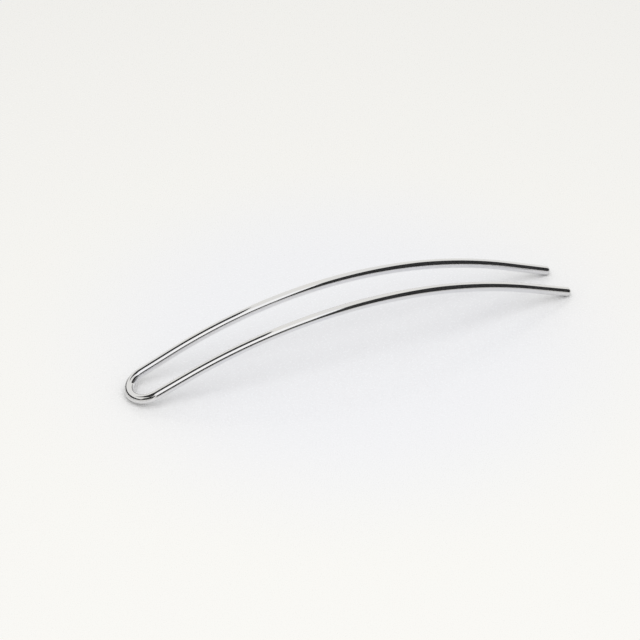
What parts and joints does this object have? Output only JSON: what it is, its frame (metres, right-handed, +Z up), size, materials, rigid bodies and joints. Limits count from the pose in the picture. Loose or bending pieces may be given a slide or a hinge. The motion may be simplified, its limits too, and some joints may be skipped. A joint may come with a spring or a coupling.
{
  "type": "hairpin",
  "caption": "U-shaped hairpin bent from round polished steel wire, with long arched legs and domed tips that slide into pinned-up hair.",
  "frame": {"origin": "on the surface the pin rests on, under the middle of its length and width", "axes": "+X from the bend towards the tips, +Y across the legs, +Z up out of the arch's crown"},
  "size_m": [0.125, 0.0152, 0.0163],
  "materials": {
    "polished_wire": "mirror polished round steel wire with faint drawing lines"
  },
  "bodies": {
    "root": {"hairpin_wire": "polished_wire"}
  },
  "joints": []
}
